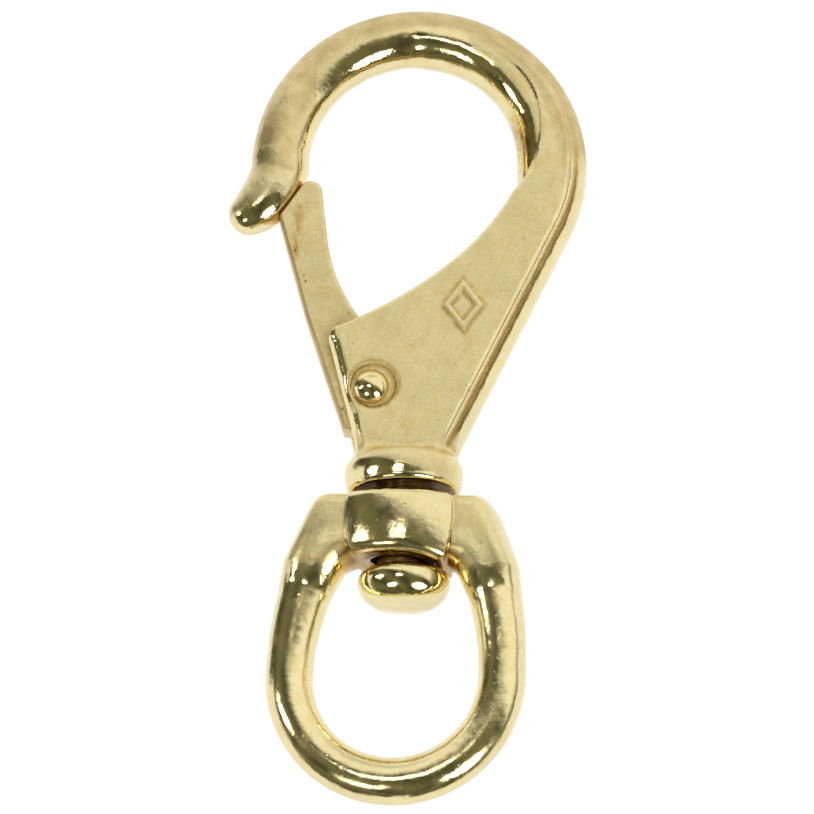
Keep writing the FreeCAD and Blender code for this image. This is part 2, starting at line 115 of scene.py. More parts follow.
def centre_of(a, b, radius, side):
    """Centre of an arc of this radius from a to b. Side 1 puts it to the left of the way."""
    length = math.dist(a, b)
    off = side * math.sqrt(radius**2 - length**2 / 4) / length
    return (a[0] + b[0]) / 2 - off * (b[1] - a[1]), (a[1] + b[1]) / 2 + off * (b[0] - a[0])


def onward(a, b, c):
    """Centre of the arc from b to a further corner that carries on smoothly from about a."""
    normal = b[0] - a[0], b[1] - a[1]
    du, dw = c[0] - b[0], c[1] - b[1]
    reach = (du * du + dw * dw) / (2 * (du * normal[0] + dw * normal[1]))
    return b[0] + reach * normal[0], b[1] + reach * normal[1]


def bulge(wide, end):
    """Centre of the arc of a turned part that runs from its widest point to another."""
    across, up = wide[0] - end[0], wide[1] - end[1]
    return wide[0] - (across**2 + up**2) / (2 * across), wide[1]


def cut_off(inner, beyond, rounding):
    """A shape ended by another surface, the edge between them rounded to a radius."""
    across, along = inner + rounding, beyond + rounding
    outside = np.hypot(np.maximum(across, 0), np.maximum(along, 0))
    return outside + np.minimum(np.maximum(across, along), 0) - rounding


def slab(inner, thickness, y, rounding):
    """An outline with this half thickness, its edges rounded to the given radius."""
    return cut_off(inner, np.abs(y) - thickness, rounding)


def oval(across, y, half, depth):
    """About the distance from a rod of oval section, given the way to its centreline."""
    u, v = across / half, y / depth
    level = np.sqrt(u * u + v * v)
    slope = np.sqrt((u / half) ** 2 + (v / depth) ** 2)
    return level * (level - 1) / np.maximum(slope, 1e-6)


def cone(x, y, z, a, b, ra, rb):
    """A round-ended rod in the XZ plane that tapers from radius ra to rb."""
    flat, t = segment(x, z, a, b)
    return np.hypot(flat, y) - (ra + t * (rb - ra))


# --- the shapes -----------------------------------------------------------------

# Places are (x, z) and lengths are in millimetres. The front is -Y and the swivel's axis is Z.
BOW = (2.1, -15.0)                 # centre of the bow's bend
BOW_RADIUS = 19.05                 # from there to the rod's centreline
ROD = 3.9                          # the rod's own radius
LEAN = math.radians(26.2)          # of the spine, from upright
PIVOT = (-4.4, -48.0)              # the rivet
SHANK = 1.6                        # its radius
DISH = (PIVOT[0] + 0.3, PIVOT[1] + 0.15)    # the hollow round its head
SEAT = (-15.28, -19.93)            # the flat on the nose that stops the gate
SEAT_LEAN = math.radians(55.2)
WEB_HALF = 4.6                     # half the web's thickness
SLOT_HALF = 2.45                   # half the gap between the cheeks
SPRING_LEVEL = -42.0               # height of the spring's axis
POCKET = 1.75                      # radius of the hole that holds it
MARK = (8.0, -36.6)                # the raised lozenge
MARK_HALF = (2.2, 3.0)             # half its width and height
COLLAR_FLOOR = -61.9
STUD_TOP = -56.7
TAIL = 3.0                         # radius of the stud inside the collar


def on_bow(radius, angle):
    """A point at this radius and angle from the bow's centre."""
    return BOW[0] + radius * math.cos(angle), BOW[1] + radius * math.sin(angle)


def down_spine(radius, level):
    """The point at this level on the line that leaves the bow's bend at this radius."""
    x, z = on_bow(radius, -LEAN)
    return x - (z - level) * math.tan(LEAN), level


def on_seat(along, out):
    """A point along the nose's flat and out from it."""
    return (SEAT[0] + along * math.cos(SEAT_LEAN) + out * math.sin(SEAT_LEAN),
            SEAT[1] + along * math.sin(SEAT_LEAN) - out * math.cos(SEAT_LEAN))


def along_spline(points, count):
    """A smooth line of points through some corners."""
    ends = [points[0]] + points + [points[-1]]
    line = []
    for a, b, c, d in zip(ends, ends[1:], ends[2:], ends[3:]):
        for t in (k / count for k in range(count)):
            line.append(tuple(q + t * (r - p) / 2 + t * t * (2 * p - 5 * q + 4 * r - w) / 2
                              + t**3 * (3 * q - p - 3 * r + w) / 2
                              for p, q, r, w in zip(a, b, c, d)))
    return line + [points[-1]]


EDGE = 21.1                        # from the bow's centre to the web's outer edge
CORNER, THROAT, LIMB_LOW = (-10.6, -40.0), (6.0, -30.5), (14.9, -19.9)
LIMB_EDGE = [LIMB_LOW, (16.8, -17.4), (18.1, -14.2), (18.6, -10.8), (18.3, -7.4),
             (17.3, -4.4), (15.4, -1.7), (12.6, 0.5), (9.0, 2.7), (5.2, 4.0)]
THROAT_CENTRE = centre_of(CORNER, THROAT, 58.0, 1)
LIMB_CENTRE = onward(THROAT_CENTRE, THROAT, LIMB_LOW)
WEB = [((-10.2, -41.57), centre_of((-10.2, -41.57), (-9.08, -39.44), 1.85, -1)),
       ((-9.08, -39.44), centre_of((-9.08, -39.44), THROAT, 58.0, 1)), (THROAT, LIMB_CENTRE),
       *[(corner, None) for corner in along_spline(LIMB_EDGE, 4)],
       (on_bow(EDGE, math.radians(76)), BOW), (on_bow(EDGE, -LEAN), None),
       (down_spine(EDGE, -58.0), None), ((-6.0, -58.0), None)]
COLLAR = [((0.0, COLLAR_FLOOR), None),
          ((7.0, COLLAR_FLOOR), centre_of((7.0, COLLAR_FLOOR), (7.75, -61.1), 0.8, 1)),
          ((7.75, -61.1), bulge((8.0, -59.1), (7.75, -61.1))),
          ((8.0, -59.1), bulge((8.0, -59.1), (4.6, -57.5))),
          ((4.6, -57.5), None), ((0.0, -56.0), None)]
GATE = [((-13.2, -17.62), centre_of((-13.2, -17.62), (-11.15, -19.4), 1.7, -1)),
        ((-11.15, -19.4), None),
        ((-10.4, -26.5), centre_of((-10.4, -26.5), (-6.4, -36.9), 24.0, 1)),
        ((-6.4, -36.9), None), ((-4.0, -40.2), None), ((-4.0, -44.4), PIVOT),
        ((PIVOT[0] + 1.81, PIVOT[1] - 3.135), None), ((-5.4, -53.6), None),
        ((-8.05, -53.3), None), ((-13.3, -36.9), None), ((-16.9, -23.2), None),
        (on_seat(-3.1, 0.04), None), (on_seat(2.3, 0.04), None)]
BUTTON = [((0.0, STUD_TOP), None), ((TAIL, STUD_TOP), None), ((TAIL, COLLAR_FLOOR), None),
          ((3.6, COLLAR_FLOOR), None), ((3.6, -72.7), None),
          ((4.9, -72.7), bulge((6.2, -74.3), (4.9, -72.7))),
          ((6.2, -74.3), bulge((6.2, -74.3), (3.0, -77.75))),
          ((3.0, -77.75), (0.0, -68.0)), ((0.0, -78.2), None)]
# x, z and radius down the nose
NOSE = along_spline([(-16.98, -14.0, 3.88), (-17.0, -15.2, 3.88), (-17.5, -17.0, 3.88),
                     (-18.45, -18.9, 3.8), (-19.75, -20.6, 3.45), (-21.1, -21.8, 2.87)], 9)


def bow_rod(x, z):
    """Distance in the XZ plane from the centreline of the bow and the spine."""
    nearest = arc(x, z, on_bow(BOW_RADIUS, math.pi), on_bow(BOW_RADIUS, math.pi / 2), BOW)
    nearest = np.minimum(nearest, arc(x, z, on_bow(BOW_RADIUS, math.pi / 2),
                                      on_bow(BOW_RADIUS, -LEAN), BOW))
    spine = segment(x, z, on_bow(BOW_RADIUS, -LEAN), down_spine(BOW_RADIUS, -58.0))[0]
    return np.minimum(nearest, spine)


def limb_rod(x, z):
    """Distance in the XZ plane from the rod that thickens the limb beside the web."""
    nearest = arc(x, z, (13.3, -28.35), (18.93, -17.3), (5.27, -17.3))
    nearest = np.minimum(nearest, segment(x, z, (18.93, -17.3), (18.93, -13.9))[0])
    return np.minimum(nearest, arc(x, z, (18.93, -13.9), (3.7, 3.48), (1.40, -13.9)))


def from_rod(x, z):
    """How far out from the centreline of the bow and the spine, in their plane."""
    start = on_bow(BOW_RADIUS, -LEAN)
    out = (x - start[0]) * math.cos(LEAN) - (z - start[1]) * math.sin(LEAN)
    angle = np.arctan2(z - BOW[1], x - BOW[0])
    bent = (angle > -LEAN) | (angle < -3.0)
    return np.where(bent, np.hypot(x - BOW[0], z - BOW[1]) - BOW_RADIUS, out)


def lozenge(x, z):
    """Distance in the XZ plane from the sides of the mark, less than nothing inside it."""
    half, tall = MARK_HALF
    level = np.abs(x - MARK[0]) / half + np.abs(z - MARK[1]) / tall - 1.0
    return level / math.hypot(1 / half, 1 / tall)


def hook_body(x, y, z):
    """The casting: rod, limb, nose, web and collar, then the cuts and the raised mark."""
    rod = np.hypot(bow_rod(x, z), y) - ROD
    swell = rise(z, -1.0, -7.0) - 1.6 * rise(z, -16.5, -25.5)
    limb = oval(limb_rod(x, z), y, 3.4, ROD + 0.6 * swell)
    body = smooth_min(rod, limb, 1.0)
    nose = np.inf
    for a, b in zip(NOSE, NOSE[1:]):
        nose = np.minimum(nose, cone(x, y, z, a[:2], b[:2], a[2], b[2]))
    body = smooth_min(body, nose, 0.25)
    along = (x - SEAT[0]) * math.cos(SEAT_LEAN) + (z - SEAT[1]) * math.sin(SEAT_LEAN)
    out = (x - SEAT[0]) * math.sin(SEAT_LEAN) - (z - SEAT[1]) * math.cos(SEAT_LEAN)
    flat = np.maximum(np.abs(along + 0.4) - 3.8, np.abs(out - 1.5) - 1.5)
    body = smooth_max(body, -flat, 0.3)
    # the web thins as it runs out on the bow, and is rounder beside the gate
    turn = np.degrees(np.arctan2(z - BOW[1], x - BOW[0]))
    thinner = 0.85 * np.where(z > BOW[1], eased(turn, 22.0, 72.0), 0.0)
    rounding = 0.4 + 1.5 * rise(x, -3.0, -7.0) * rise(z, -39.6, -41.6)
    bevel = 0.55 * rise(from_rod(x, z), 1.25, 2.05) * (x > -1)
    web = slab(outline(x, z, WEB), WEB_HALF - thinner - bevel, y, rounding)
    body = smooth_min(body, web, 0.3)
    collar = outline(np.hypot(x, y), z, COLLAR)
    body = smooth_min(body, collar, 1.3)
    # the slot between the cheeks, the holes and the dishes round the rivet's heads
    slot = np.maximum(np.maximum(np.abs(y) - SLOT_HALF, x - 0.4),
                      np.maximum(-55.3 - z, z + 28.0))
    body = smooth_max(body, -slot, 0.5)
    body = np.maximum(body, SHANK - np.hypot(x - PIVOT[0], z - PIVOT[1]))
    from_dish = np.hypot(x - DISH[0], z - DISH[1])
    body = smooth_max(body, -np.maximum(4.25 - np.abs(y), from_dish - 2.8), 1.3)
    pocket = np.maximum(np.hypot(y, z - SPRING_LEVEL) - POCKET, np.maximum(-1.0 - x, x - 4.6))
    body = np.maximum(body, -pocket)
    body = np.maximum(body, -np.maximum(np.hypot(x, y) - TAIL, z - STUD_TOP))
    bead = np.hypot(lozenge(x, z), y + 4.5) - 0.52
    return smooth_min(body, bead, 0.2)


def gate(x, y, z):
    """A flat lever with a hole for the rivet and a pocket for the spring."""
    body = slab(outline(x, z, GATE), 2.2, y, 0.45)
    body = np.maximum(body, SHANK + 0.08 - np.hypot(x - PIVOT[0], z - PIVOT[1]))
    return np.maximum(body, -np.maximum(np.hypot(y, z - SPRING_LEVEL) - POCKET, -4.7 - x))


def gate_rivet(x, y, z):
    """A plain shank with two domed heads, set in the dishes of the cheeks."""
    r, side = np.hypot(x - PIVOT[0], z - PIVOT[1]), np.abs(y)
    dome = np.hypot(r, side - 3.2) - 2.65
    head = smooth_max(smooth_max(dome, r - 2.5, 0.2), 4.1 - side, 0.2)
    return np.minimum(np.maximum(r - SHANK, side - 4.4), head)


def swivel_stud(x, y, z):
    """Turned: a tail in the collar, a shank through the eye and a button."""
    return outline(np.hypot(x, y), z, BUTTON)


BOSS_BULGE = centre_of((-7.1, 5.6), (7.1, 5.6), 12.0, -1)
BOSS = [((-7.1, 5.6), BOSS_BULGE), ((7.1, 5.6), None),
        ((7.1, -5.6), (0.0, -BOSS_BULGE[1])), ((-7.1, -5.6), None)]
WING = [((5.0, -63.1), None), ((9.6, -63.1), centre_of((9.6, -63.1), (11.75, -64.6), 2.3, -1)),
        ((11.75, -64.6), None), ((14.7, -72.2), None),
        ((14.2, -74.6), None), ((10.4, -74.4), None), ((8.2, -71.8), None), ((5.0, -71.2), None)]
RING_TOP, RING_WIDE, RING_LOW = (9.5, -67.5), (14.2, -87.3), (0.0, -101.5)
RING_HEART = (0.0, -87.3)


def swivel_eye(x, y, z):
    """An oval ring with a faceted bridge: a bulging boss between two wings, bored through."""
    side = np.abs(x)
    # the boss's lower edge sags on the right
    sag = 1.4 * rise(x, 0.5, 7.1) ** 2
    ends = np.where(z > -67.4, z + 63.1, -71.7 - sag - z)
    barrel = outline(x, y, BOSS) + (z + 66.2) ** 2 / 38.0
    boss = cut_off(barrel, ends, np.where(z > -67.4, 1.0, 1.3))
    depth = 5.2 - 0.06 * (side - 7.1) - 0.045 * np.maximum(-67.0 - z, 0) ** 2
    wing = slab(outline(side, z, WING), depth, y, 1.7)
    rod = np.minimum(arc(side, z, RING_WIDE, RING_LOW, RING_HEART),
                     arc(side, z, RING_TOP, RING_WIDE, bulge(RING_WIDE, RING_TOP)))
    rod = np.hypot(rod, y) - 3.15 - 0.35 * rise(z, -84.0, -76.0)
    body = smooth_min(smooth_min(rod, wing, 3.4), boss, 0.4)
    bore = np.maximum(np.hypot(x, y) - 4.1, -80.0 - z)
    return smooth_max(body, -bore, 0.6)


# --- meshing ----------------------------------------------------------------------


def skin(shape, low, high, step):
    """Vertices and quads on the surface of a signed distance, in millimetres.

    Each cell of a grid that the surface crosses gets one vertex, at the mean of the places
    where it crosses the cell's edges, and each crossed edge gets a quad."""
    axes = [np.arange(lo - 2.5 * step, hi + 3 * step, step) for lo, hi in zip(low, high)]
    x, y, z = axes[0][:, None, None], axes[1][None, :, None], axes[2][None, None, :]
    size = tuple(len(a) for a in axes)
    value = np.broadcast_to(shape(x, y, z), size).astype(np.float64)
    cells = tuple(n - 1 for n in size)
    total, count = np.zeros(cells + (3,)), np.zeros(cells)
    edges = []
    for axis in range(3):
        ahead = [slice(None)] * 3
        behind = [slice(None)] * 3
        ahead[axis], behind[axis] = slice(1, None), slice(None, -1)
        v0, v1 = value[tuple(behind)], value[tuple(ahead)]
        where = np.argwhere((v0 < 0) != (v1 < 0))
        a, b = v0[tuple(where.T)], v1[tuple(where.T)]
        point = where.astype(float)
        point[:, axis] += a / (a - b)
        others = [n for n in range(3) if n != axis]
        around = []
        for s, t in ((0, 0), (-1, 0), (-1, -1), (0, -1)):
            cell = where.copy()
            cell[:, others[0]] += s
            cell[:, others[1]] += t
            np.add.at(total, tuple(cell.T), point)
            np.add.at(count, tuple(cell.T), 1)
            around.append(cell)
        flip = (a < 0) ^ (axis == 1)
        edges.append((around, flip))
    used = count > 0
    index = np.full(cells, -1)
    index[used] = np.arange(used.sum())
    verts = total[used] / count[used][:, None]
    origin = np.array([a[0] for a in axes])
    verts = origin + verts * step
    quads = []
    for around, flip in edges:
        quad = np.stack([index[tuple(c.T)] for c in around], axis=1)
        quad[~flip] = quad[~flip][:, ::-1]
        quads.append(quad)
    return verts, np.concatenate(quads)


def gradient(shape, p, h=0.02):
    """Slope of a signed distance at some points, from differences over 2h."""
    x, y, z = p.T
    return np.stack([shape(x + h, y, z) - shape(x - h, y, z),
                     shape(x, y + h, z) - shape(x, y - h, z),
                     shape(x, y, z + h) - shape(x, y, z - h)], axis=1) / (2 * h)


def settle(shape, p, step):
    """Moves vertices onto the surface and returns them with their normals."""
    for _ in range(3):
        g = gradient(shape, p)
        square = np.maximum((g * g).sum(1), 0.2)
        move = -(shape(*p.T) / square)[:, None] * g
        length = np.linalg.norm(move, axis=1, keepdims=True)
        p = p + move * np.minimum(1, 0.7 * step / np.maximum(length, 1e-9))
    g = gradient(shape, p, 0.05)
    return p, g / np.maximum(np.linalg.norm(g, axis=1, keepdims=True), 1e-9)


def build(name, shape, low, high, step, material, body, nodes, place=None, matte=None,
          drawn=None, dirt_and_shade=None, wear_and_shade=None):
    """Makes one piece from its signed distance and hangs it on its body.

    Its brass gets five attributes: how hollow each place is, with the piece's dirt and painted
    shade added, how much of an edge it is, how dull, how worn with painted shade on some pieces,
    and the way along the metal."""
    step = step * COARSE
    verts, quads = skin(shape, low, high, step)
    verts, normals = settle(shape, verts, step)
    deep = 0.9
    hollow = rise(shape(*(verts + deep * normals).T), deep, 0.0)
    edge = rise(shape(*(verts - deep * normals).T), -deep, 0.0)
    dull = rise(np.abs(normals[:, 1]), 0.94, 0.99)
    if matte is not None:
        dull = matte(verts, normals, dull)
    # each piece's dirt and painted shade are added to the hollow share; below nothing makes a
    # hollow lighter
    if dirt_and_shade is not None:
        dirt_and_shade_mask = dirt_and_shade(verts, normals)
        hollow = np.where(dirt_and_shade_mask < 0, hollow * (1 + dirt_and_shade_mask), np.maximum(hollow, np.clip(dirt_and_shade_mask, 0, 1)))
    wear_and_shade_share = np.clip(wear_and_shade(verts, normals), 0, 1) if wear_and_shade is not None else np.zeros(len(verts))
    way = verts if drawn is None else drawn(verts)
    if place is not None:
        turn = np.array(place.to_3x3())
        verts = verts @ turn.T + np.array(place.translation)
        normals = normals @ turn.T
    mesh = bpy.data.meshes.new(name)
    mesh.vertices.add(len(verts))
    mesh.vertices.foreach_set("co", (verts * MM).astype(np.float32).ravel())
    mesh.loops.add(4 * len(quads))
    mesh.loops.foreach_set("vertex_index", quads.ravel().astype(np.int32))
    mesh.polygons.add(len(quads))
    mesh.polygons.foreach_set("loop_start", np.arange(0, 4 * len(quads), 4, dtype=np.int32))
    mesh.update(calc_edges=True)
    mesh.validate()
    layer = mesh.attributes.new("way", "FLOAT_VECTOR", "POINT")
    layer.data.foreach_set("vector", (way * MM).astype(np.float32).ravel())
    for key, values in (("hollow", hollow), ("edge", edge), ("dull", dull), ("wear_and_shade", wear_and_shade_share)):
        layer = mesh.attributes.new(key, "FLOAT", "POINT")
        layer.data.foreach_set("value", values.astype(np.float32))
    mesh.polygons.foreach_set("use_smooth", np.ones(len(mesh.polygons), bool))
    mesh.normals_split_custom_set_from_vertices(normals.tolist())
    piece = bpy.data.objects.new(f"{name}_brass", mesh)
    bpy.context.scene.collection.objects.link(piece)
    mesh.materials.append(material)
    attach(piece, body)
    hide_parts(*nodes)


# --- materials ----------------------------------------------------------------------


class Nodes:
    """A short way to write a node tree. Each method adds a node and returns its output."""

    def __init__(self, name):
        self.material = bpy.data.materials.new(name)
        self.material.use_nodes = True
        self.tree = self.material.node_tree
        self.shader = self.tree.nodes["Principled BSDF"]
        self.position = self.add("ShaderNodeTexCoord").outputs["Object"]
        self.way = self.add("ShaderNodeAttribute", attribute_name="way").outputs["Vector"]

    def add(self, kind, **settings):
        node = self.tree.nodes.new(kind)
        for key, value in settings.items():
            setattr(node, key, value)
        return node

    def plug(self, socket, value):
        if isinstance(value, bpy.types.NodeSocket):
            self.tree.links.new(value, socket)
        else:
            socket.default_value = value

    def attribute(self, name):
        return self.add("ShaderNodeAttribute", attribute_name=name).outputs["Fac"]

    def noise(self, scale, detail=4.0, rough=0.55, stretch=None):
        node = self.add("ShaderNodeTexNoise")
        where = self.position
        if stretch is not None:
            mapping = self.add("ShaderNodeMapping")
            mapping.inputs["Scale"].default_value = stretch
            self.plug(mapping.inputs["Vector"], self.way)
            where = mapping.outputs["Vector"]
        self.plug(node.inputs["Vector"], where)
        node.inputs["Scale"].default_value = scale
        node.inputs["Detail"].default_value = detail
        node.inputs["Roughness"].default_value = rough
        return node.outputs["Fac"]

    def cells(self, scale):
        node = self.add("ShaderNodeTexVoronoi")
        self.plug(node.inputs["Vector"], self.position)
        node.inputs["Scale"].default_value = scale
        return node.outputs["Distance"]

    def math(self, operation, a, b):
        node = self.add("ShaderNodeMath", operation=operation)
        self.plug(node.inputs[0], a)
        self.plug(node.inputs[1], b)
        return node.outputs[0]

    def ramp(self, value, low, high, out_low=0.0, out_high=1.0):
        node = self.add("ShaderNodeMapRange", clamp=True)
        self.plug(node.inputs["Value"], value)
        for key, number in zip(("From Min", "From Max", "To Min", "To Max"),
                               (low, high, out_low, out_high)):
            self.plug(node.inputs[key], number)
        return node.outputs["Result"]

    # a Mix node has its colours at inputs 6 and 7 and output 2, and its floats at 2, 3 and 0
    def mix(self, share, a, b):
        node = self.add("ShaderNodeMix", data_type="RGBA")
        self.plug(node.inputs[0], share)
        self.plug(node.inputs[6], a)
        self.plug(node.inputs[7], b)
        return node.outputs[2]

    def number(self, share, a, b):
        node = self.add("ShaderNodeMix", data_type="FLOAT")
        self.plug(node.inputs[0], share)
        self.plug(node.inputs[2], a)
        self.plug(node.inputs[3], b)
        return node.outputs[0]

    def bump(self, height, strength, distance, under=None):
        node = self.add("ShaderNodeBump")
        self.plug(node.inputs["Height"], height)
        self.plug(node.inputs["Strength"], strength)
        node.inputs["Distance"].default_value = distance
        if under is not None:
            self.plug(node.inputs["Normal"], under)
        return node.outputs["Normal"]


PALE = (0.91, 0.79, 0.45, 1)
GREENISH = (0.74, 0.67, 0.38, 1)
GOLD = (0.86, 0.63, 0.24, 1)
AMBER = (0.70, 0.46, 0.15, 1)
BROWN = (0.27, 0.16, 0.052, 1)
# the dull brown of worn brass, also used as painted shade on the gate and on the bow's left limb
WORN_AND_SHADED = (0.66, 0.52, 0.25, 1)
DUSTY = (0.46, 0.36, 0.16, 1)


def brass(name, dull_rough=0.46, bright_rough=0.075, pitted=1.0, wavy=1.0, tarnish=1.0):
    """Cast brass: tumbled where it is dull, with pits and stains, and polished elsewhere.

    The two roughnesses are those of the dull and the bright places. The other three scale
    the pits, the waves in the surface and the stains."""
    n = Nodes(name)
    dull, hollow, edge, wear_and_shade = (n.attribute(key) for key in ("dull", "hollow", "edge", "wear_and_shade"))
    broad = n.noise(90.0, 3.0)
    cloud = n.noise(420.0, 5.0, 0.6)
    grain = n.noise(2600.0, 4.0, 0.65)
    speck = n.noise(1500.0, 2.0, 0.5)
    streaks = n.noise(1500.0, 4.0, 0.6, stretch=(0.07, 1.0, 1.0))
    # colour: pale with greener and more golden patches, then amber in hollows as painted shade with
    # a warm painted reflection, and brown in the deepest as dirt and painted shade
    tone = n.mix(n.ramp(broad, 0.40, 0.66, 0.0, 0.5 * tarnish), PALE, GREENISH)
    tone = n.mix(n.math("MULTIPLY", n.ramp(streaks, 0.48, 0.72), n.ramp(dull, 0, 1, 0.1, 0.4)),
                 tone, GOLD)
    tone = n.mix(n.ramp(cloud, 0.46, 0.74, 0.0, 0.45 * tarnish), tone, GOLD)
    # worn places turn dull brown, and so do the places of painted shade that the wear share carries
    tone = n.mix(n.math("MULTIPLY", wear_and_shade, n.ramp(cloud, 0.3, 0.6, 0.45, 0.9)), tone, WORN_AND_SHADED)
    shallow = n.math("MULTIPLY", hollow, n.ramp(speck, 0.35, 0.65, 0.35, 1.3))
    tone = n.mix(n.ramp(shallow, 0.03, 0.24, 0.0, 0.85), tone, AMBER)
    deep = n.math("MULTIPLY", n.ramp(hollow, 0.2, 0.8), n.ramp(cloud, 0.25, 0.6, 0.6, 1.0))
    tone = n.mix(deep, tone, BROWN)
    pit = n.math("MULTIPLY", n.ramp(n.cells(820.0), 0.26, 0.05), n.ramp(speck, 0.56, 0.64))
    pit = n.math("MULTIPLY", pit, n.ramp(dull, 0.0, 1.0, 0.25 * pitted, pitted))
    tone = n.mix(n.math("MULTIPLY", pit, 0.6), tone, BROWN)
    fine = n.math("MULTIPLY", n.ramp(grain, 0.42, 0.72), n.ramp(dull, 0.0, 1.0, 0.13, 0.27))
    tone = n.mix(fine, tone, DUSTY)
    tone = n.mix(n.ramp(edge, 0.15, 0.5, 0.0, 0.4), tone, PALE)
    n.plug(n.shader.inputs["Base Color"], tone)
    n.shader.inputs["Metallic"].default_value = 1.0
    # finish
    rough = n.number(dull, bright_rough, dull_rough)
    rough = n.math("ADD", rough, n.ramp(cloud, 0.40, 0.70, -0.02, 0.13))
    rough = n.math("ADD", rough, n.ramp(hollow, 0.2, 0.8, 0.0, 0.2))
    rough = n.math("ADD", rough, n.math("MULTIPLY", pit, 0.25))
    n.plug(n.shader.inputs["Roughness"], rough)
    soft = n.bump(n.noise(230.0, 2.0), 0.34 * wavy, 0.0004)
    soft = n.bump(n.noise(800.0, 3.0), 0.34 * wavy, 0.00012, soft)
    drawn = n.bump(streaks, n.ramp(dull, 0.0, 1.0, 0.03, 0.12), 0.00012, soft)
    skin_strength = n.ramp(dull, 0.0, 1.0, 0.045, 0.32)
    rough_skin = n.bump(grain, skin_strength, 0.00012, drawn)
    holes = n.bump(n.math("MULTIPLY", pit, -1.0), 0.6, 0.00018, rough_skin)
    n.plug(n.shader.inputs["Normal"], holes)
    return n.material


cast_brass = brass("cast_brass", pitted=0.4)
gate_brass = brass("gate_brass", dull_rough=0.46, bright_rough=0.34, pitted=1.3, wavy=0.4,
                   tarnish=1.3)
polished_brass = brass("polished_brass", dull_rough=0.20, bright_rough=0.07, pitted=0.5, wavy=0.8)
eye_brass = brass("eye_brass", dull_rough=0.34, bright_rough=0.13, pitted=0.6, wavy=0.9)


def spring_bronze():
    """Drawn wire, redder than the castings."""
    n = Nodes("spring_bronze")
    drawn = n.noise(2200.0, 3.0)
    n.plug(n.shader.inputs["Base Color"],
           n.mix(n.ramp(drawn, 0.4, 0.65), (0.62, 0.40, 0.20, 1), (0.36, 0.22, 0.10, 1)))
    n.shader.inputs["Metallic"].default_value = 1.0
    n.plug(n.shader.inputs["Roughness"], n.ramp(drawn, 0.3, 0.7, 0.22, 0.42))
    n.plug(n.shader.inputs["Normal"], n.bump(drawn, 0.3, 0.00005))
    return n.material


# --- where each piece is dull, worn and dirty, from 0 to 1 -------------------------------


def hook_finish(p, normal, dull):
    """The web and the bow's outer side are tumbled, and the inner rounding is polished."""
    x, y, z = p.T
    angle = np.degrees(np.arctan2(z - BOW[1], x - BOW[0]))
    out = np.hypot(x - BOW[0], z - BOW[1]) - BOW_RADIUS
    # where the polish ends, out from the centreline, by the angle round the bow
    line = np.interp(angle, (60, 95, 125, 150, 180), (0.9, 0.2, -0.6, -1.6, -2.0))
    line = np.where(angle < -90, -2.0, line)
    outer = rise(out - line, -0.4, 0.4)
    outer = np.where(np.abs(angle) < 60, rise(out, 1.0, 1.6), outer)
    outer = outer * np.where(x > 0, rise(z, -16.0, -13.0), 1.0)
    outer = outer * (1 - 0.45 * rise(x, -9.0, -15.0))
    crease = rise(z - 0.52 * (x + 15.2), -19.1, -18.4)
    left = (x < -9) & (z > -30)
    flat = dull * np.where(z > BOW[1], x > 10.0 - 0.4 * z, ~left)
    collar = rise(z + 0.27 * x, -59.65, -60.15)
    neck = rise(z, -53.5, -55.5) * rise(np.abs(normal[:, 1]), 0.35, 0.55)
    mark = 0.8 * rise(np.hypot(x - MARK[0], z - MARK[1]), 4.5, 3.5)
    dish = 0.9 * rise(np.hypot(x - PIVOT[0], z - PIVOT[1]), 4.6, 4.1)
    dish = dish * rise(x, -7.3, -6.8) * (np.abs(y) > 3.5)
    flat = np.maximum(np.maximum(flat, 0.85 * neck), np.maximum(mark, dish))
    return np.maximum(flat, outer * np.where(left, crease, z > -20)) * (1 - collar)


def along_hook(p):
    """Distance along the rod and out from its centreline, for marks that follow the metal."""
    x, y, z = p.T
    angle = np.arctan2(z - BOW[1], x - BOW[0])
    start = on_bow(BOW_RADIUS, -LEAN)
    down = (start[0] - x) * math.sin(LEAN) + (start[1] - z) * math.cos(LEAN)
    bent = (angle > -LEAN) | (angle < -3.0)
    turned = np.where(angle < -3.0, angle + 2 * math.pi, angle) + LEAN
    length = np.where(bent, -BOW_RADIUS * turned, down)
    return np.stack([length, from_rod(x, z), y], axis=1)


